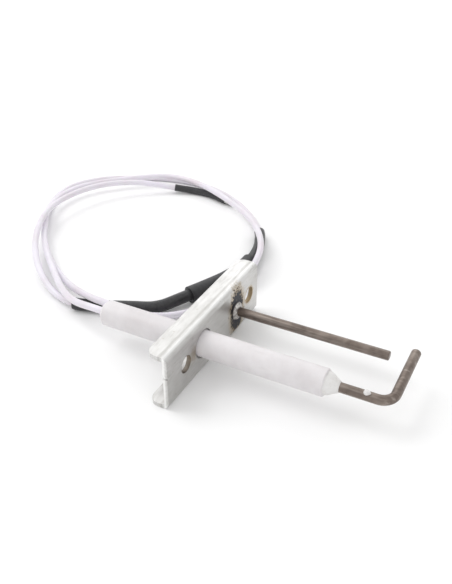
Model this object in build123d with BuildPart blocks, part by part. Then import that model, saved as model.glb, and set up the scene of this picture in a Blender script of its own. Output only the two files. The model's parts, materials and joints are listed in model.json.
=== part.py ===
"""Ignition electrode for a gas burner: a ceramic-insulated spark electrode and
its ground rod on a folded steel bracket, with a high-voltage lead.

Frame, in millimetres: +X is forward along the two rods, +Y along the bracket,
+Z up.  The origin is midway between the two mounting holes, on the front face
of the bracket's web.
"""
import os
from math import pi, radians, tan

from build123d import *

os.makedirs("parts", exist_ok=True)

# ---- Driving dimensions ----------------------------------------------------

# Bracket: a channel folded from sheet, web to the front and flanges to the rear
sheet = 1.2
web_top, web_bottom = 7.5, -8.0
near_end, far_end = -26.0, 22.5
flange_depth = 5.8
fold_radius = 0.5
flange_corner = 2.6
mounting_spacing = 34.6
mounting_hole_radius = 2.3
nick_depth, nick_height, nick_z = 0.25, 0.8, 1.6

# Gap on the radius between a rod or cable and the bore that holds it
fit_gap = 0.02

# Ceramic tube and its hole in the web
axis_y, axis_z = -8.6, 0.5
ceramic_radius = 3.5
ceramic_rear, ceramic_front = -30.0, 33.0
ceramic_hole_radius = 4.0
rear_chamfer, front_chamfer = 1.0, 0.25
rod_bore_radius = 1.35
lead_bore_radius = 1.75
bore_step = -9.0

# Rods
rod_radius = 1.25
electrode_rear = -13.0
electrode_corner = 48.7
electrode_bend = 3.4
leg_length = 20.0
leg_rise_angle = 2.3
ground_y, ground_z = 9.9, -0.9
ground_tip = 42.7
tip_rounding = 0.3

# Lead, its splice and its end
lead_radius = 1.0
conductor_radius = 0.45
stub_length = 3.0
boot_radius = 2.5
sleeve_radius = 1.75
boot_over_lead, boot_over_tail = 6.5, 13.4
near_sleeve_end, far_sleeve_end = 48.0, 27.5
end_sleeve_radius = 1.25
end_sleeve_length = 22.0
ferrule_radius = 1.6

# Route of the lead, from inside the ceramic, round the loop twice, to the splice
lead_route = [
    (-24.5, axis_y, axis_z),
    (-34.0, axis_y, axis_z),
    (-43.0, -6.2, -1.6),
    (-51.5, -0.6, -3.3),
    (-60.0, 6.6, -4.2),
    (-72.5, 17.5, -4.5),
    (-81.5, 28.0, -4.5),
    (-91.5, 43.0, -4.5),
    (-91.8, 57.5, -4.5),
    (-85.0, 67.5, -4.5),
    (-75.0, 76.5, -4.4),
    (-65.0, 82.8, -4.0),
    (-51.0, 81.2, -3.7),
    (-34.5, 72.5, -3.2),
    (-21.0, 62.0, -2.0),
    (-11.7, 50.5, -1.4),
    (-7.5, 40.0, -1.8),
    (-7.9, 30.0, -4.6),
    (-10.5, 20.5, -6.7),
    (-15.5, 9.5, -6.9),
    (-24.0, 1.6, -5.7),
    (-34.0, -0.8, -3.3),
    (-44.0, -0.2, -3.3),
    (-58.0, 7.3, -6.3),
    (-74.5, 19.7, -7.0),
    (-84.5, 31.0, -7.0),
    (-94.0, 45.0, -7.0),
    (-98.0, 60.5, -7.0),
    (-91.5, 73.0, -7.0),
    (-79.0, 80.5, -7.0),
    (-67.0, 86.0, -7.0),
    (-53.0, 86.8, -7.0),
    (-38.3, 81.8, -7.0),
    (-26.0, 72.2, -6.8),
    (-17.0, 61.2, -6.1),
    (-13.0, 51.5, -5.8),
    (-11.4, 43.0, -5.3),
    (-11.6, 35.0, -5.2),
]

# Route of the tail, from the splice back round the loop to the free end
tail_route = [
    (-13.1, 28.6, -5.2),
    (-16.1, 21.6, -5.2),
    (-19.5, 14.4, -5.2),
    (-24.0, 7.4, -6.1),
    (-31.3, 4.4, -6.2),
    (-40.0, 0.3, -6.2),
    (-48.0, -2.2, -6.2),
    (-57.5, 1.0, -6.0),
    (-66.0, 6.5, -4.6),
    (-72.7, 13.0, -3.0),
    (-79.6, 22.4, -2.0),
    (-86.0, 36.0, -1.9),
    (-86.0, 49.5, -2.0),
    (-81.0, 62.0, -2.3),
    (-71.5, 71.0, -3.2),
    (-61.0, 77.5, -5.8),
    (-53.5, 80.3, -6.7),
    (-46.0, 80.6, -6.75),
    (-39.0, 78.2, -6.7),
]


def bend_radii(route):
    """Largest practical arc at each inner point of a route."""
    points = [Vector(*p) for p in route]
    radii = []
    for before, here, after in zip(points, points[1:], points[2:]):
        turn = (here - before).get_angle(after - here)
        shorter = min((here - before).length, (after - here).length)
        radii.append(0.45 * shorter / tan(radians(turn) / 2))
    return radii


def tube_plane(path, at=0.0):
    """Section plane square to a path."""
    return Plane(origin=path @ at, z_dir=path % at)


def report(name, route, solid, section_radius, path):
    """Print a cord's radii, length and how well its volume fits."""
    radii = bend_radii(route)
    print(name, "length", round(path.length, 1), "tightest bend", round(min(radii), 1))
    print("  radii", [round(r, 1) for r in radii])
    expected = pi * section_radius**2 * path.length
    print("  volume / expected", round(solid.volume / expected, 4))


axis_front = Plane(origin=(0, axis_y, axis_z), x_dir=(0, 1, 0), z_dir=(1, 0, 0))
along_axis = Plane(origin=(0, axis_y, axis_z), x_dir=(1, 0, 0), z_dir=(0, -1, 0))
ground_front = Plane(origin=(0, ground_y, ground_z), x_dir=(0, 1, 0), z_dir=(1, 0, 0))
along_ground = Plane(origin=(0, ground_y, ground_z), x_dir=(1, 0, 0), z_dir=(0, -1, 0))

# ---- Bracket -----------------------------------------------------------------

web_height = web_top - web_bottom
bracket_length = far_end - near_end
near_face = Plane(origin=(0, near_end, 0), x_dir=(1, 0, 0), z_dir=(0, -1, 0))
web_front = Plane(origin=(0, 0, 0), x_dir=(0, 1, 0), z_dir=(1, 0, 0))

with BuildPart() as mounting_bracket:
    with BuildSketch(near_face):
        with Locations((-flange_depth / 2, (web_top + web_bottom) / 2)):
            Rectangle(flange_depth, web_height)
        with Locations((-sheet, (web_top + web_bottom) / 2)):
            Rectangle(
                flange_depth, web_height - 2 * sheet, align=(Align.MAX, Align.CENTER), mode=Mode.SUBTRACT
            )
    extrude(amount=-bracket_length)
    folds = mounting_bracket.edges().filter_by(Axis.Y)
    fillet(folds.filter_by_position(Axis.X, -0.01, 0.01), fold_radius + sheet)
    inner_folds = mounting_bracket.edges().filter_by(Axis.Y)
    fillet(inner_folds.filter_by_position(Axis.X, -sheet - 0.01, -sheet + 0.01), fold_radius)
    rear_corners = mounting_bracket.edges().filter_by(Axis.Z)
    fillet(rear_corners.filter_by_position(Axis.X, -flange_depth - 0.01, -flange_depth + 0.01), flange_corner)
    with BuildSketch(web_front):
        with Locations((-mounting_spacing / 2, 0), (mounting_spacing / 2, 0)):
            Circle(mounting_hole_radius)
        with Locations((axis_y, axis_z)):
            Circle(ceramic_hole_radius)
        with Locations((ground_y, ground_z)):
            Circle(rod_radius + fit_gap)
        with Locations((near_end, nick_z)):
            Rectangle(2 * nick_depth, nick_height)
    extrude(amount=-sheet - 0.5, mode=Mode.SUBTRACT)
mounting_bracket.part.label = "mounting_bracket"
export_step(mounting_bracket.part, "parts/mounting_bracket.step")

# ---- Ceramic tube --------------------------------------------------------------

with BuildPart() as ceramic_insulator:
    with BuildSketch(along_axis) as ceramic_half:
        with BuildLine():
            Polyline(
                (ceramic_rear, lead_bore_radius),
                (bore_step, lead_bore_radius),
                (bore_step, rod_bore_radius),
                (ceramic_front, rod_bore_radius),
                (ceramic_front, ceramic_radius - front_chamfer),
                (ceramic_front - front_chamfer, ceramic_radius),
                (ceramic_rear + rear_chamfer, ceramic_radius),
                (ceramic_rear, ceramic_radius - rear_chamfer),
                close=True,
            )
        make_face()
    revolve(axis=Axis((0, axis_y, axis_z), (1, 0, 0)))
ceramic_insulator.part.label = "ceramic_insulator"
export_step(ceramic_insulator.part, "parts/ceramic_insulator.step")

# ---- Electrode rod, bent across in front of the ground rod ------------------------

leg_direction = Vector(0, 1, 0).rotate(Axis.X, leg_rise_angle)
corner = Vector(electrode_corner, axis_y, axis_z)

with BuildPart() as electrode_rod:
    with BuildLine() as electrode_path:
        FilletPolyline(
            Vector(electrode_rear, axis_y, axis_z),
            corner,
            corner + leg_direction * leg_length,
            radius=electrode_bend,
        )
    with BuildSketch(tube_plane(electrode_path.wires()[0])):
        Circle(rod_radius)
    sweep(path=electrode_path.wires()[0])
    fillet(electrode_rod.edges().sort_by(Axis.Y)[-1], tip_rounding)
electrode_rod.part.label = "electrode_rod"
export_step(electrode_rod.part, "parts/electrode_rod.step")

# ---- Ground rod, welded to the web on both sides --------------------------------------

with BuildPart() as ground_rod:
    with BuildSketch(ground_front.offset(-sheet - 0.4)):
        Circle(rod_radius)
    extrude(amount=ground_tip + sheet + 0.4)
    fillet(ground_rod.edges().sort_by(Axis.X)[-1], tip_rounding)
ground_rod.part.label = "ground_rod"
export_step(ground_rod.part, "parts/ground_rod.step")

bead_spread, bead_height = 1.35, 0.9


def bead(start, direction):
    """Weld bead round the ground rod, standing on one side of the web."""
    with BuildPart() as ring:
        with BuildSketch(along_ground):
            with BuildLine():
                foot = (start, rod_radius + bead_spread)
                crown = (start + direction * bead_height, rod_radius + fit_gap)
                ThreePointArc(
                    foot, (start + direction * 0.62 * bead_height, rod_radius + 0.72 * bead_spread), crown
                )
                Polyline(crown, (start, rod_radius + fit_gap), foot)
            make_face()
        revolve(axis=Axis((0, ground_y, ground_z), (1, 0, 0)))
    return ring.part


front_weld = bead(0.0, 1)
front_weld.label = "ground_rod_weld"
export_step(front_weld, "parts/ground_rod_weld.step")

rear_weld = bead(-sheet, -1)
rear_weld.label = "ground_rod_rear_weld"
export_step(rear_weld, "parts/ground_rod_rear_weld.step")

# ---- Cements and seals round the ceramic ----------------------------------------------

nose_length = 3.4
collar_spread, collar_length = 1.5, 2.2
drip_position, drip_size = 42.9, 1.1

with BuildPart() as nose_cement:
    with BuildSketch(along_axis):
        with BuildLine():
            Polyline(
                (ceramic_front, rod_radius + fit_gap),
                (ceramic_front, ceramic_radius - 0.25),
                (ceramic_front + 0.6, ceramic_radius - 0.5),
                (ceramic_front + 2.2, ceramic_radius - 1.4),
                (ceramic_front + nose_length, rod_radius + 0.3),
                (ceramic_front + nose_length, rod_radius + fit_gap),
                close=True,
            )
        make_face()
    revolve(axis=Axis((0, axis_y, axis_z), (1, 0, 0)))
nose_cement.part.label = "nose_cement"
export_step(nose_cement.part, "parts/nose_cement.step")

with BuildPart() as collar_cement:
    with BuildSketch(along_axis):
        with BuildLine():
            Polyline(
                (-sheet, ceramic_radius + fit_gap),
                (-sheet, ceramic_radius + collar_spread),
                (-sheet - collar_length, ceramic_radius + 0.3),
                (-sheet - collar_length, ceramic_radius + fit_gap),
                close=True,
            )
        make_face()
    revolve(axis=Axis((0, axis_y, axis_z), (1, 0, 0)))
collar_cement.part.label = "collar_cement"
export_step(collar_cement.part, "parts/collar_cement.step")

with BuildPart() as cement_drip:
    with BuildSketch(axis_front.offset(drip_position)):
        with Locations((-0.45, rod_radius)):
            Circle(drip_size)
        Circle(rod_radius + fit_gap, mode=Mode.SUBTRACT)
    extrude(amount=1.0, both=True)
    round_rims = cement_drip.edges().filter_by(GeomType.CIRCLE)
    outer_rims = round_rims.filter_by(lambda rim: rim.radius < rod_radius - 0.05)
    fillet(outer_rims, 0.35)
cement_drip.part.label = "cement_drip"
export_step(cement_drip.part, "parts/cement_drip.step")

with BuildPart() as rear_seal:
    with BuildSketch(axis_front.offset(ceramic_rear + 0.2)):
        Circle(lead_bore_radius - fit_gap)
        Circle(lead_radius + 0.12, mode=Mode.SUBTRACT)
    extrude(amount=3.0)
rear_seal.part.label = "rear_seal"
export_step(rear_seal.part, "parts/rear_seal.step")

# ---- Joint between the rod and the lead, inside the ceramic -------------------------------

joint_rear, joint_front = lead_route[0][0] + 0.1, electrode_rear + 4.0 - 0.1

with BuildPart() as crimp_ferrule:
    with BuildSketch(axis_front.offset(joint_rear)):
        Circle(ferrule_radius)
    extrude(amount=joint_front - joint_rear)
    with BuildSketch(axis_front.offset(electrode_rear - 0.1)):
        Circle(rod_radius + fit_gap)
    extrude(amount=joint_front - electrode_rear + 0.2, mode=Mode.SUBTRACT)
    with BuildSketch(axis_front.offset(joint_rear)):
        Circle(conductor_radius + fit_gap)
    extrude(amount=5.2, mode=Mode.SUBTRACT)
crimp_ferrule.part.label = "crimp_ferrule"
export_step(crimp_ferrule.part, "parts/crimp_ferrule.step")

with BuildPart() as ceramic_conductor_end:
    with BuildSketch(axis_front.offset(lead_route[0][0])):
        Circle(conductor_radius)
    extrude(amount=5.0)
ceramic_conductor_end.part.label = "ceramic_conductor_end"
export_step(ceramic_conductor_end.part, "parts/ceramic_conductor_end.step")

# ---- Lead and tail -------------------------------------------------------------------------

with BuildPart() as ignition_lead:
    with BuildLine() as lead_path:
        FilletPolyline(*lead_route, radius=bend_radii(lead_route))
    with BuildSketch(tube_plane(lead_path.wires()[0])):
        Circle(lead_radius)
    sweep(path=lead_path.wires()[0])
ignition_lead.part.label = "ignition_lead"
export_step(ignition_lead.part, "parts/ignition_lead.step")
report("lead", lead_route, ignition_lead.part, lead_radius, lead_path.wires()[0])

with BuildPart() as ignition_tail:
    with BuildLine() as tail_path:
        FilletPolyline(*tail_route, radius=bend_radii(tail_route))
    with BuildSketch(tube_plane(tail_path.wires()[0])):
        Circle(lead_radius)
    sweep(path=tail_path.wires()[0])
ignition_tail.part.label = "ignition_tail"
export_step(ignition_tail.part, "parts/ignition_tail.step")
report("tail", tail_route, ignition_tail.part, lead_radius, tail_path.wires()[0])

# ---- Splice: crimp, two bared conductor ends, boot and heat-shrunk sleeve ----------------------

splice_start, splice_end = Vector(*lead_route[-1]), Vector(*tail_route[0])
splice_length = (splice_end - splice_start).length
splice_plane = Plane(origin=splice_start, z_dir=splice_end - splice_start)

with BuildPart() as splice_crimp:
    with BuildSketch(splice_plane.offset(0.25)):
        Circle(lead_radius)
        Circle(conductor_radius + fit_gap, mode=Mode.SUBTRACT)
    extrude(amount=splice_length - 0.5)
splice_crimp.part.label = "splice_crimp"
export_step(splice_crimp.part, "parts/splice_crimp.step")

with BuildPart() as lead_conductor_end:
    with BuildSketch(splice_plane.offset(0.1)):
        Circle(conductor_radius)
    extrude(amount=stub_length - 0.2)
lead_conductor_end.part.label = "lead_conductor_end"
export_step(lead_conductor_end.part, "parts/lead_conductor_end.step")

with BuildPart() as tail_conductor_end:
    with BuildSketch(splice_plane.offset(splice_length - 0.1)):
        Circle(conductor_radius)
    extrude(amount=-stub_length + 0.2)
tail_conductor_end.part.label = "tail_conductor_end"
export_step(tail_conductor_end.part, "parts/tail_conductor_end.step")

lead_wire, tail_wire = lead_path.wires()[0], tail_path.wires()[0]
boot_route = lead_route[-3:] + tail_route[:4]


def shrunk_sleeve(wire, start, end, radius, bore=lead_radius + fit_gap):
    """Heat-shrunk tube over a cord, between two lengths along it."""
    span = wire.trim(start / wire.length, end / wire.length)
    with BuildPart() as sleeve:
        with BuildSketch(tube_plane(span)):
            Circle(radius)
            Circle(bore, mode=Mode.SUBTRACT)
        sweep(path=span)
    return sleeve.part


with BuildLine() as boot_path:
    FilletPolyline(*boot_route, radius=bend_radii(boot_route))
boot_wire = boot_path.wires()[0]
lead_runs = [Vector(*p) for p in lead_route[-3:]]
boot_from = (lead_runs[1] - lead_runs[0]).length + (lead_runs[2] - lead_runs[1]).length - boot_over_lead
boot_to = boot_from + boot_over_lead + splice_length + boot_over_tail
splice_boot = shrunk_sleeve(boot_wire, boot_from, boot_to, boot_radius, bore=lead_radius + 0.15)
splice_boot.label = "splice_boot"
export_step(splice_boot, "parts/splice_boot.step")

splice_sleeve = shrunk_sleeve(tail_wire, boot_over_tail + 0.1, near_sleeve_end, sleeve_radius)
splice_sleeve.label = "splice_sleeve"
export_step(splice_sleeve, "parts/splice_sleeve.step")

lead_end = lead_wire.length
splice_sleeve_far = shrunk_sleeve(
    lead_wire, lead_end - far_sleeve_end, lead_end - boot_over_lead - 0.3, sleeve_radius
)
splice_sleeve_far.label = "splice_sleeve_far"
export_step(splice_sleeve_far, "parts/splice_sleeve_far.step")

# ---- Free end: heat-shrunk sleeve over a crimped pin -----------------------------------------------

pin_radius, pin_length, barrel_length = 0.6, 3.6, 2.2
end_point = tail_wire @ 1
end_plane = Plane(origin=end_point, z_dir=tail_wire % 1)

end_sleeve = shrunk_sleeve(
    tail_wire, tail_wire.length - end_sleeve_length, tail_wire.length, end_sleeve_radius
)
end_sleeve.label = "end_sleeve"
export_step(end_sleeve, "parts/end_sleeve.step")

with BuildPart() as end_terminal:
    with BuildSketch(end_plane.offset(0.1)):
        Circle(lead_radius)
    extrude(amount=barrel_length)
    with BuildSketch(end_plane.offset(0.1 + barrel_length)):
        Circle(pin_radius)
    extrude(amount=pin_length - barrel_length)
    with BuildSketch(end_plane.offset(0.1)):
        Circle(conductor_radius + fit_gap)
    extrude(amount=barrel_length - 0.4, mode=Mode.SUBTRACT)
end_terminal.part.label = "end_terminal"
export_step(end_terminal.part, "parts/end_terminal.step")

with BuildPart() as terminal_conductor_end:
    with BuildSketch(end_plane.offset(0.05)):
        Circle(conductor_radius)
    extrude(amount=barrel_length - 0.5)
terminal_conductor_end.part.label = "terminal_conductor_end"
export_step(terminal_conductor_end.part, "parts/terminal_conductor_end.step")
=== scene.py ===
"""Looks of the ignition electrode: procedural materials, the smooth lead and tail,
the cast cement, a pale studio and the camera.  Lengths are in metres, in the frame of the CAD model:
+X forward along the rods, +Y along the bracket, +Z up."""
import json
import math

import bmesh
import bpy
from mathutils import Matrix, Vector, noise


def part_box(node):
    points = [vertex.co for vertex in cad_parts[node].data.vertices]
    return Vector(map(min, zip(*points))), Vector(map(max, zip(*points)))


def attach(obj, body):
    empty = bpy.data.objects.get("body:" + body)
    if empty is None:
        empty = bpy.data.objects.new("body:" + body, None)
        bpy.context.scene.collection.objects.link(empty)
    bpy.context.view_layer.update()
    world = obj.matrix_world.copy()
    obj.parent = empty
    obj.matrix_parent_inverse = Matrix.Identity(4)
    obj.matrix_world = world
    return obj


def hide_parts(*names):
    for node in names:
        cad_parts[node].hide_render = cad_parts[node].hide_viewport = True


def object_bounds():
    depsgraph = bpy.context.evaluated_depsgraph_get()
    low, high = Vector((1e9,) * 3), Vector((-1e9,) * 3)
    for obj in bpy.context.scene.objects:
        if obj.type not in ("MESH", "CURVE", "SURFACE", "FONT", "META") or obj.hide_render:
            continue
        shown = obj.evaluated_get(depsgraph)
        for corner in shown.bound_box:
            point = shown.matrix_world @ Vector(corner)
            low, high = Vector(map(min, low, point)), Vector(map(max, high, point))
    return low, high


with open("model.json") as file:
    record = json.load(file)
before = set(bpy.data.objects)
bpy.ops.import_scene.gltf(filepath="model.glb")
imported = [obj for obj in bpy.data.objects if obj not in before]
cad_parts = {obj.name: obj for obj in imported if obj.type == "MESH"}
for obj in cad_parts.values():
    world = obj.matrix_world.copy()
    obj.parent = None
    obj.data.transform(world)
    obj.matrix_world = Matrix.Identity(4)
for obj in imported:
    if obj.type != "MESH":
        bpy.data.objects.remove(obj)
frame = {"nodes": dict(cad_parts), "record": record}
cad_low, cad_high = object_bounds()
nodes = frame["nodes"]

MM = 0.001
AXIS_Y = -8.6 * MM
AXIS_Z = 0.5 * MM
GROUND_ROD_Y = 9.9 * MM
GROUND_ROD_Z = -0.9 * MM
MOUNTING_SPACING = 34.6 * MM
MOUNTING_HOLE_RADIUS = 2.3 * MM


# ---- Camera and stage -----------------------------------------------------------

CAMERA_AZIMUTH = math.radians(27.6)
CAMERA_ELEVATION = math.radians(33.3)
CAMERA_DISTANCE = 190.6 * MM
CAMERA_TARGET = Vector((0.0, 3.62, 8.83)) * MM
IMAGE_WIDTH = 452
IMAGE_HEIGHT = 584
FOCAL_IN_PIXELS = 740
SENSOR = 36.0


def make_camera():
    """Camera at the viewing angle, looking straight at a point just above the web."""
    data = bpy.data.cameras.new("camera")
    data.sensor_width = SENSOR
    data.sensor_fit = "AUTO"
    data.lens = SENSOR * FOCAL_IN_PIXELS / max(IMAGE_WIDTH, IMAGE_HEIGHT)
    data.clip_start = 0.005
    data.clip_end = 20.0
    camera = bpy.data.objects.new("camera", data)
    bpy.context.scene.collection.objects.link(camera)
    level = math.cos(CAMERA_ELEVATION)
    back = Vector((
        math.sin(CAMERA_AZIMUTH) * level,
        -math.cos(CAMERA_AZIMUTH) * level,
        math.sin(CAMERA_ELEVATION),
    ))
    camera.location = CAMERA_TARGET + back * CAMERA_DISTANCE
    camera.rotation_mode = "QUATERNION"
    camera.rotation_quaternion = (-back).to_track_quat("-Z", "Y")
    bpy.context.scene.camera = camera


make_camera()


# ---- Node helpers ------------------------------------------------------------------


class Surface:
    """A node material built step by step on one Principled shader."""

    def __init__(self, name, roughness=0.5, metallic=0.0):
        self.material = bpy.data.materials.new(name)
        self.material.use_nodes = True
        self.tree = self.material.node_tree
        self.shader = self.tree.nodes["Principled BSDF"]
        self.shader.inputs["Roughness"].default_value = roughness
        self.shader.inputs["Metallic"].default_value = metallic
        self.place = self.tree.nodes.new("ShaderNodeTexCoord").outputs["Object"]

    def link(self, source, target):
        self.tree.links.new(source, target)

    def stretched(self, scale, move=(0, 0, 0)):
        """Object coordinates, scaled by axis."""
        node = self.tree.nodes.new("ShaderNodeMapping")
        node.inputs["Scale"].default_value = scale
        node.inputs["Location"].default_value = move
        self.link(self.place, node.inputs["Vector"])
        return node.outputs["Vector"]

    def noise(self, scale, detail=4.0, roughness=0.55, vector=None):
        node = self.tree.nodes.new("ShaderNodeTexNoise")
        node.inputs["Scale"].default_value = scale
        node.inputs["Detail"].default_value = detail
        node.inputs["Roughness"].default_value = roughness
        self.link(vector or self.place, node.inputs["Vector"])
        return node.outputs["Fac"]

    def cells(self, scale):
        node = self.tree.nodes.new("ShaderNodeTexVoronoi")
        node.inputs["Scale"].default_value = scale
        self.link(self.place, node.inputs["Vector"])
        return node.outputs["Distance"]

    def ramp(self, value, stops):
        """Colour ramp through (position, colour) stops."""
        node = self.tree.nodes.new("ShaderNodeValToRGB")
        ramp = node.color_ramp
        while len(ramp.elements) < len(stops):
            ramp.elements.new(0.5)
        for element, (position, colour) in zip(ramp.elements, stops):
            element.position = position
            element.color = (*colour, 1.0)
        self.link(value, node.inputs["Fac"])
        return node.outputs["Color"]

    def mix(self, factor, first, second):
        """Colour between first and second by the factor."""
        node = self.tree.nodes.new("ShaderNodeMix")
        node.data_type = "RGBA"
        for name, value in (("A", first), ("B", second)):
            self.set(self.colour_socket(node, name), value)
        self.set(node.inputs["Factor"], factor)
        return [o for o in node.outputs if o.type == "RGBA"][0]

    @staticmethod
    def colour_socket(node, name):
        return [s for s in node.inputs if s.name == name and s.type == "RGBA"][0]

    def set(self, socket, value):
        if isinstance(value, bpy.types.NodeSocket):
            self.link(value, socket)
        elif isinstance(value, (tuple, list)):
            socket.default_value = (*value, 1.0)
        else:
            socket.default_value = value

    def near(self, centre, inner, outer, waver=0.0, squash=(1.0, 1.0, 1.0)):
        """1 within inner of a centre, fading to 0 at outer; waver roughens the edge.

        squash scales the distance by axis, so above 1 it narrows the shape.
        """
        away = self.tree.nodes.new("ShaderNodeVectorMath")
        away.operation = "DISTANCE"
        away.inputs[1].default_value = [c * k for c, k in zip(centre, squash)]
        self.link(self.stretched(squash), away.inputs[0])
        distance = away.outputs["Value"]
        if waver:
            spread = self.range(self.noise(1100.0, 5.0, 0.7), 0.3, 0.7, -waver, waver)
            distance = self.add(distance, spread)
        return self.range(distance, inner, outer, 1.0, 0.0)

    def along(self, axis):
        node = self.tree.nodes.new("ShaderNodeSeparateXYZ")
        self.link(self.place, node.inputs[0])
        return node.outputs[axis]

    def range(self, value, low, high, to_low=0.0, to_high=1.0):
        """Value rescaled from low..high, and held at the ends."""
        node = self.tree.nodes.new("ShaderNodeMapRange")
        node.inputs["From Min"].default_value = low
        node.inputs["From Max"].default_value = high
        node.inputs["To Min"].default_value = to_low
        node.inputs["To Max"].default_value = to_high
        self.link(value, node.inputs["Value"])
        return node.outputs["Result"]

    def band(self, value, start, full, fading, end):
        """1 between full and fading, easing to 0 at start and end."""
        return self.times(self.range(value, start, full), self.range(value, fading, end, 1.0, 0.0))

    def math(self, operation, first, second):
        node = self.tree.nodes.new("ShaderNodeMath")
        node.operation = operation
        self.set(node.inputs[0], first)
        self.set(node.inputs[1], second)
        return node.outputs[0]

    def add(self, first, second):
        return self.math("ADD", first, second)

    def times(self, first, second):
        return self.math("MULTIPLY", first, second)

    def colour(self, value):
        self.set(self.shader.inputs["Base Color"], value)

    def roughness(self, value):
        self.link(value, self.shader.inputs["Roughness"])

    def bump(self, height, distance, strength=0.6):
        node = self.tree.nodes.new("ShaderNodeBump")
        node.inputs["Strength"].default_value = strength
        node.inputs["Distance"].default_value = distance
        self.link(height, node.inputs["Height"])
        self.link(node.outputs["Normal"], self.shader.inputs["Normal"])


# ---- Materials ----------------------------------------------------------------------------


STRAW_TINT = (0.42, 0.31, 0.16)


def fold_highlight_and_shade(s, colour):
    """Painted shade on the web, which is drawn slightly darker; a painted highlight along the crease of each
    fold, and a painted shade line behind it.
    """
    depth = s.along("X")
    # Painted shade: the front of the web is drawn slightly darker.
    front_shade = s.range(depth, -0.5 * MM, -0.1 * MM, 0.0, 0.30)
    colour = s.mix(front_shade, colour, (0.40, 0.39, 0.37))
    # Painted highlight: a bright band along the crease of each fold.
    crease_highlight = s.band(depth, -1.5 * MM, -1.1 * MM, -0.8 * MM, -0.5 * MM)
    colour = s.mix(s.times(crease_highlight, 0.7), colour, (0.95, 0.95, 0.94))
    # Painted shade: a darker line along the flange just behind the crease.
    rub_and_shade = s.band(depth, -2.6 * MM, -2.2 * MM, -1.9 * MM, -1.6 * MM)
    return s.mix(s.times(rub_and_shade, 0.45), colour, (0.36, 0.35, 0.33))


def hole_shade_and_stains(s, colour):
    """Painted shade on the walls of the mounting holes, a straw rim at the far one, and a stain by the
    ceramic.
    """
    wall_start = MOUNTING_HOLE_RADIUS + 0.02 * MM
    wall_end = MOUNTING_HOLE_RADIUS + 0.12 * MM
    for side in (-1, 1):
        hole = (0.0, side * MOUNTING_SPACING / 2, 0.0)
        # Painted shade: the walls of the mounting holes are drawn dark.
        wall_shade = s.near(hole, wall_start, wall_end, squash=(0.0, 1.0, 1.0))
        colour = s.mix(s.times(wall_shade, 0.85), colour, (0.14, 0.11, 0.08))
    far_hole = (0.0, MOUNTING_SPACING / 2, 0.0)
    rim = s.near(far_hole, 2.4 * MM, 3.0 * MM, 0.3 * MM)
    colour = s.mix(s.times(rim, 0.6), colour, STRAW_TINT)
    stain = s.near((0.0, -13.4 * MM, 0.4 * MM), 0.6 * MM, 2.8 * MM, 0.9 * MM)
    return s.mix(s.times(stain, 0.6), colour, (0.33, 0.25, 0.16))


def weld_burn(s, colour):
    """Burn round the ground rod's weld, from a straw edge through brown to a black heart."""
    weld = (0.0, GROUND_ROD_Y, GROUND_ROD_Z)
    tall = (2.4, 1.45, 0.78)
    straw = s.near(weld, 4.8 * MM, 7.6 * MM, 1.4 * MM, tall)
    colour = s.mix(s.times(straw, 0.8), colour, STRAW_TINT)
    brown = s.near(weld, 4.4 * MM, 6.0 * MM, 2.0 * MM, tall)
    colour = s.mix(s.times(brown, 0.9), colour, (0.085, 0.06, 0.045))
    black = s.near(weld, 4.7 * MM, 5.1 * MM, 2.6 * MM, tall)
    return s.mix(black, colour, (0.016, 0.017, 0.024))


def bracket_steel():
    """Bright zinc plate: fine grain and specks, a painted highlight and painted shade along the folds,
    painted shade in the holes with a straw rim and a stain, and the weld's burn.
    """
    s = Surface("bracket_steel", 0.34, 1.0)
    grain = s.noise(260.0, 6.0, 0.6, s.stretched((6.0, 1.0, 9.0)))
    clouds = s.noise(95.0, 4.0)
    zinc = [(0.30, (0.56, 0.555, 0.54)), (0.52, (0.67, 0.665, 0.655)), (0.72, (0.78, 0.775, 0.77))]
    streaks = s.range(grain, 0.45, 0.72, 0.0, 0.45)
    colour = s.mix(streaks, s.ramp(clouds, zinc), (0.46, 0.45, 0.43))
    # Painted highlight and painted shade along the folds and painted shade on the hole walls, then the straw
    # rim, the stain and the weld's burn.
    colour = weld_burn(s, hole_shade_and_stains(s, fold_highlight_and_shade(s, colour)))
    specks = s.range(s.cells(420.0), 0.06, 0.14, 0.3, 0.0)
    s.colour(s.mix(specks, colour, (0.30, 0.25, 0.17)))
    s.roughness(s.range(grain, 0.3, 0.7, 0.30, 0.50))
    s.bump(grain, 0.00003, 0.45)
    return s.material


def alumina():
    """Off-white ceramic: soft clouding, a few pores and grey rubs."""
    s = Surface("alumina", 0.42)
    clouds = s.noise(160.0, 5.0)
    whites = [(0.32, (0.64, 0.61, 0.62)), (0.55, (0.70, 0.675, 0.685)), (0.75, (0.75, 0.73, 0.74))]
    base = s.ramp(clouds, whites)
    rub = s.noise(420.0, 3.0, 0.6, s.stretched((0.25, 1.0, 1.0)))
    rub_and_shade = s.mix(s.range(rub, 0.62, 0.74, 0.0, 0.28), base, (0.55, 0.53, 0.52))
    pores = s.range(s.cells(900.0), 0.02, 0.07, 0.35, 0.0)
    s.colour(s.mix(pores, rub_and_shade, (0.52, 0.49, 0.46)))
    s.roughness(s.range(clouds, 0.3, 0.7, 0.36, 0.52))
    s.bump(s.noise(1500.0, 4.0), 0.00002, 0.4)
    s.shader.inputs["Subsurface Weight"].default_value = 0.08
    s.shader.inputs["Subsurface Radius"].default_value = (0.001, 0.0009, 0.0008)
    s.shader.inputs["Subsurface Scale"].default_value = 1.0
    return s.material


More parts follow.
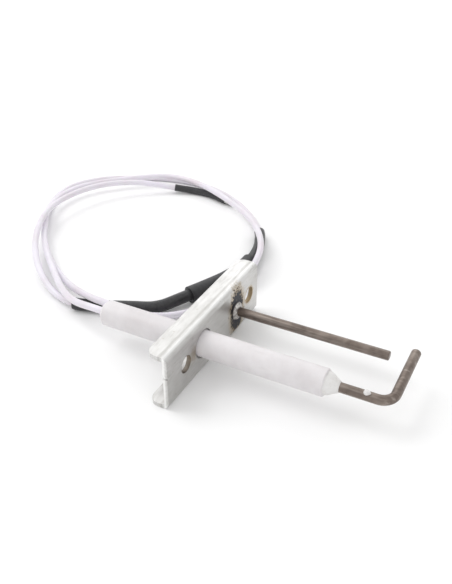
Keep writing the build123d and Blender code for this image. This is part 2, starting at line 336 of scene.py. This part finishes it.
def rod_steel():
    """Oxidised heat-resistant rod: brown-grey skin with draw lines and brighter rubs."""
    s = Surface("rod_steel", 0.38, 1.0)
    lines = s.noise(900.0, 5.0, 0.6, s.stretched((0.05, 1.0, 1.0)))
    patches = s.noise(230.0, 4.0)
    browns = [(0.30, (0.120, 0.095, 0.082)), (0.52, (0.200, 0.165, 0.143)), (0.74, (0.30, 0.255, 0.225))]
    skin = s.ramp(patches, browns)
    drawn = s.mix(s.range(lines, 0.48, 0.70, 0.0, 0.6), skin, (0.46, 0.41, 0.37))
    dark = s.noise(320.0, 3.0, 0.5, s.stretched((0.12, 1.0, 1.0), (3.1, 0.4, 1.2)))
    s.colour(s.mix(s.range(dark, 0.58, 0.7, 0.0, 0.6), drawn, (0.075, 0.06, 0.055)))
    s.roughness(s.range(patches, 0.3, 0.75, 0.30, 0.50))
    s.bump(lines, 0.00003, 0.5)
    return s.material


def weld_steel():
    """Weld metal: silver ripples over a sooty foot."""
    s = Surface("weld_steel", 0.36, 1.0)
    ripple = s.noise(1400.0, 4.0)
    base = s.ramp(ripple, [(0.36, (0.10, 0.09, 0.09)), (0.5, (0.42, 0.40, 0.38)), (0.66, (0.72, 0.70, 0.67))])
    soot = s.range(s.along("X"), 0.05 * MM, 0.35 * MM, 0.9, 0.0)
    s.colour(s.mix(soot, base, (0.06, 0.05, 0.05)))
    s.roughness(s.range(ripple, 0.3, 0.7, 0.26, 0.55))
    s.bump(ripple, 0.00012, 0.8)
    return s.material


def cement():
    """Matt white refractory cement with a gritty, pitted skin."""
    s = Surface("cement", 0.85)
    grit = s.noise(1300.0, 6.0, 0.7)
    clouds = s.noise(380.0, 4.0)
    whites = [(0.3, (0.66, 0.645, 0.63)), (0.55, (0.74, 0.73, 0.72)), (0.8, (0.80, 0.795, 0.79))]
    base = s.ramp(clouds, whites)
    pits = s.range(s.cells(1500.0), 0.05, 0.16, 0.45, 0.0)
    s.colour(s.mix(pits, base, (0.45, 0.40, 0.35)))
    s.roughness(s.range(grit, 0.3, 0.7, 0.75, 0.95))
    s.bump(grit, 0.00016, 0.8)
    return s.material


def silicone():
    """Slightly translucent white silicone, drifting between pink and lilac, with faint dust."""
    s = Surface("silicone", 0.38)
    drift = s.noise(70.0, 3.0)
    base = s.ramp(drift, [(0.3, (0.66, 0.60, 0.64)), (0.5, (0.70, 0.67, 0.72)), (0.75, (0.77, 0.75, 0.82))])
    dust = s.noise(900.0, 4.0)
    s.colour(s.mix(s.range(dust, 0.6, 0.75, 0.0, 0.2), base, (0.66, 0.60, 0.58)))
    s.roughness(s.range(dust, 0.3, 0.7, 0.30, 0.48))
    s.bump(s.noise(600.0, 3.0), 0.00003, 0.4)
    s.shader.inputs["Subsurface Weight"].default_value = 0.35
    s.shader.inputs["Subsurface Radius"].default_value = (0.0012, 0.0010, 0.0012)
    s.shader.inputs["Subsurface Scale"].default_value = 1.0
    s.shader.inputs["Coat Weight"].default_value = 0.25
    s.shader.inputs["Coat Roughness"].default_value = 0.25
    return s.material


def black_cover(name, roughness, grain_scale):
    """Black rubber or heat-shrunk tube, satin, with grey scuffs."""
    s = Surface(name, roughness)
    grain = s.noise(grain_scale, 5.0)
    scuff = s.noise(260.0, 4.0, 0.65)
    base = s.ramp(grain, [(0.3, (0.016, 0.016, 0.018)), (0.7, (0.034, 0.034, 0.037))])
    s.colour(s.mix(s.range(scuff, 0.56, 0.74, 0.0, 0.4), base, (0.085, 0.083, 0.088)))
    s.roughness(s.range(scuff, 0.3, 0.7, roughness - 0.08, roughness + 0.16))
    s.bump(grain, 0.00004, 0.5)
    return s.material


def plated(name, dark, light):
    """Bare metal between two tones, with fine tool marks."""
    s = Surface(name, 0.3, 1.0)
    marks = s.noise(1100.0, 5.0)
    s.colour(s.ramp(marks, [(0.35, dark), (0.65, light)]))
    s.roughness(s.range(marks, 0.3, 0.7, 0.22, 0.42))
    s.bump(marks, 0.00003, 0.5)
    return s.material


materials = {
    "bracket_steel": bracket_steel(),
    "ceramic": alumina(),
    "rod_steel": rod_steel(),
    "weld_steel": weld_steel(),
    "cement": cement(),
    "lead_insulation": silicone(),
    "boot_rubber": black_cover("boot_rubber", 0.42, 700.0),
    "heat_shrink": black_cover("heat_shrink", 0.36, 1200.0),
    "terminal_steel": plated("terminal_steel", (0.42, 0.42, 0.41), (0.74, 0.74, 0.72)),
    "conductor": plated("conductor", (0.50, 0.26, 0.15), (0.80, 0.48, 0.30)),
}


def dress_cad_nodes():
    """Every CAD node gets the material of its slot."""
    for part in frame["record"]["subparts"]:
        mesh = nodes[part["node"]].data
        mesh.materials.clear()
        mesh.materials.append(materials[part["material_slot"]])


dress_cad_nodes()


# ---- Lead and tail ---------------------------------------------------------------------------

LEAD_DIAMETER = 2.0 * MM

# From inside the ceramic, twice round the loop, to the splice; in millimetres
LEAD_ROUTE = [
    (-24.5, -8.6, 0.5),
    (-34.0, -8.6, 0.5),
    (-43.0, -6.2, -1.6),
    (-51.5, -0.6, -3.3),
    (-60.0, 6.6, -4.2),
    (-72.5, 17.5, -4.5),
    (-81.5, 28.0, -4.5),
    (-91.5, 43.0, -4.5),
    (-91.8, 57.5, -4.5),
    (-85.0, 67.5, -4.5),
    (-75.0, 76.5, -4.4),
    (-65.0, 82.8, -4.0),
    (-51.0, 81.2, -3.7),
    (-34.5, 72.5, -3.2),
    (-21.0, 62.0, -2.0),
    (-11.7, 50.5, -1.4),
    (-7.5, 40.0, -1.8),
    (-7.9, 30.0, -4.6),
    (-10.5, 20.5, -6.7),
    (-15.5, 9.5, -6.9),
    (-24.0, 1.6, -5.7),
    (-34.0, -0.8, -3.3),
    (-44.0, -0.2, -3.3),
    (-58.0, 7.3, -6.3),
    (-74.5, 19.7, -7.0),
    (-84.5, 31.0, -7.0),
    (-94.0, 45.0, -7.0),
    (-98.0, 60.5, -7.0),
    (-91.5, 73.0, -7.0),
    (-79.0, 80.5, -7.0),
    (-67.0, 86.0, -7.0),
    (-53.0, 86.8, -7.0),
    (-38.3, 81.8, -7.0),
    (-26.0, 72.2, -6.8),
    (-17.0, 61.2, -6.1),
    (-13.0, 51.5, -5.8),
    (-11.4, 43.0, -5.3),
    (-11.6, 35.0, -5.2),
]

# From the splice back round the loop to the free end; in millimetres
TAIL_ROUTE = [
    (-13.1, 28.6, -5.2),
    (-16.1, 21.6, -5.2),
    (-19.5, 14.4, -5.2),
    (-24.0, 7.4, -6.1),
    (-31.3, 4.4, -6.2),
    (-40.0, 0.3, -6.2),
    (-48.0, -2.2, -6.2),
    (-57.5, 1.0, -6.0),
    (-66.0, 6.5, -4.6),
    (-72.7, 13.0, -3.0),
    (-79.6, 22.4, -2.0),
    (-86.0, 36.0, -1.9),
    (-86.0, 49.5, -2.0),
    (-81.0, 62.0, -2.3),
    (-71.5, 71.0, -3.2),
    (-61.0, 77.5, -5.8),
    (-53.5, 80.3, -6.7),
    (-46.0, 80.6, -6.75),
    (-39.0, 78.2, -6.7),
]


def tube(name, route, diameter, material):
    """Smooth spline through a route given in millimetres, with a round section."""
    curve = bpy.data.curves.new(name, "CURVE")
    curve.dimensions = "3D"
    curve.bevel_depth = diameter / 2
    curve.bevel_resolution = 7
    curve.resolution_u = 14
    curve.use_fill_caps = True
    spline = curve.splines.new("NURBS")
    spline.points.add(len(route) - 1)
    for point, place in zip(spline.points, route):
        point.co = (*(Vector(place) * MM), 1.0)
    spline.order_u = 3
    spline.use_endpoint_u = True
    curve.materials.append(material)
    piece = bpy.data.objects.new(name, curve)
    bpy.context.scene.collection.objects.link(piece)
    return piece


lead = tube("lead", LEAD_ROUTE, LEAD_DIAMETER, materials["lead_insulation"])
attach(lead, "root")
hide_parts("ignition_lead")

tail = tube("tail", TAIL_ROUTE, LEAD_DIAMETER, materials["lead_insulation"])
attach(tail, "root")
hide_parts("ignition_tail")


# ---- Cast detail that the plain solids don't have -------------------------------------------------

CEMENT_SLOT = "cement"
LEAST_RADIUS = 1.0


def cast_piece(name, mesh, node):
    """Smooth cement piece that stands for a CAD node."""
    mesh.materials.append(materials[CEMENT_SLOT])
    mesh.polygons.foreach_set("use_smooth", [True] * len(mesh.polygons))
    piece = bpy.data.objects.new(name, mesh)
    bpy.context.scene.collection.objects.link(piece)
    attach(piece, "root")
    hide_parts(node)


def ring_mesh(name, profile, sides, lumps, seed):
    """Body of revolution about the ceramic's axis, with uneven cast lumps.

    profile is (x, radius) pairs in millimetres; lumps is how far it shrinks inwards.
    """
    verts = []
    faces = []
    count = len(profile)
    for j in range(sides):
        angle = 2 * math.pi * j / sides
        across, up = math.cos(angle), math.sin(angle)
        for x, radius in profile:
            wave = noise.noise(Vector((x * 1.1 + seed, 2.2 * across, 2.2 * up)))
            fine = noise.noise(Vector((x * 4.0 + seed, 7.0 * across, 7.0 * up)))
            r = radius - lumps * (0.5 + 0.5 * wave) - 0.25 * lumps * (0.5 + 0.5 * fine)
            r = max(r, LEAST_RADIUS)
            verts.append((x * MM, AXIS_Y + r * MM * across, AXIS_Z + r * MM * up))
    for j in range(sides):
        k = (j + 1) % sides
        for i in range(count - 1):
            faces.append((j * count + i, j * count + i + 1, k * count + i + 1, k * count + i))
    mesh = bpy.data.meshes.new(name)
    mesh.from_pydata(verts, [], faces)
    return mesh


def smear_mesh(name, node, seed):
    """Uneven low lump that fills most of a CAD node's box, and tapers forwards."""
    low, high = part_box(node)
    centre = (low + high) / 2
    half = (high - low) / 2
    bm = bmesh.new()
    bmesh.ops.create_icosphere(bm, subdivisions=4, radius=1.0)
    for vert in bm.verts:
        swell = 0.86 + 0.10 * noise.noise(vert.co * 1.3 + Vector((seed, 0.0, 0.0)))
        taper = 1.0 - 0.28 * vert.co.x
        across = Vector((vert.co.x, vert.co.y * taper, vert.co.z * taper)) * swell
        vert.co = centre + Vector((across.x * half.x, across.y * half.y * 0.8, across.z * half.z * 0.8))
    mesh = bpy.data.meshes.new(name)
    bm.to_mesh(mesh)
    bm.free()
    return mesh


NOSE_PROFILE = [
    (32.9, 3.25),
    (33.05, 3.25),
    (33.5, 3.05),
    (34.0, 2.85),
    (34.7, 2.5),
    (35.3, 2.1),
    (35.9, 1.8),
    (36.3, 1.55),
    (36.4, 1.2),
]
nose = ring_mesh("nose_cement_cast", NOSE_PROFILE, sides=72, lumps=0.3, seed=4.7)
cast_piece("nose_cement_cast", nose, "nose_cement")

smear = smear_mesh("cement_smear", "cement_drip", seed=2.3)
cast_piece("cement_smear", smear, "cement_drip")


def smooth(node, angle=35.0):
    """Smooth shading, with sharp edges kept where faces meet at more than the angle."""
    mesh = node.data
    mesh.polygons.foreach_set("use_smooth", [True] * len(mesh.polygons))
    mesh.set_sharp_from_angle(angle=math.radians(angle))


for node in nodes.values():
    smooth(node)


# ---- Studio --------------------------------------------------------------------------------------------


FLOOR_REACH = 6.0
WORLD_STRENGTH = 0.88


def make_floor():
    """Flat, pale, faintly mottled floor, at the lowest point of the CAD model."""
    level = cad_low.z
    size = FLOOR_REACH
    mesh = bpy.data.meshes.new("floor")
    mesh.from_pydata(
        [(-size, -size, level), (size, -size, level), (size, size, level), (-size, size, level)],
        [],
        [(0, 1, 2, 3)],
    )
    s = Surface("floor_paper", 0.9)
    mottling = s.noise(12.0, 3.0)
    s.colour(s.ramp(mottling, [(0.3, (0.90, 0.90, 0.90)), (0.7, (0.92, 0.92, 0.92))]))
    mesh.materials.append(s.material)
    floor = bpy.data.objects.new("floor", mesh)
    bpy.context.scene.collection.objects.link(floor)
    return floor


def area_light(name, place, energy, size):
    """Soft white light aimed at the origin."""
    data = bpy.data.lights.new(name, "AREA")
    data.energy = energy
    data.size = size
    light = bpy.data.objects.new(name, data)
    light.location = place
    aim = -Vector(place)
    light.rotation_mode = "QUATERNION"
    light.rotation_quaternion = aim.to_track_quat("-Z", "Y")
    bpy.context.scene.collection.objects.link(light)
    return light


make_floor()
area_light("key", (-0.50, -0.05, 0.60), 1.9, 0.45)
area_light("fill", (0.50, -0.40, 0.45), 0.5, 0.70)
area_light("side", (-0.22, 0.42, 0.36), 0.55, 0.50)

world = bpy.data.worlds.new("studio")
world.use_nodes = True
background = world.node_tree.nodes["Background"]
background.inputs["Color"].default_value = (1.0, 1.0, 1.0, 1.0)
background.inputs["Strength"].default_value = WORLD_STRENGTH
bpy.context.scene.world = world
bpy.context.scene.view_settings.view_transform = "Standard"
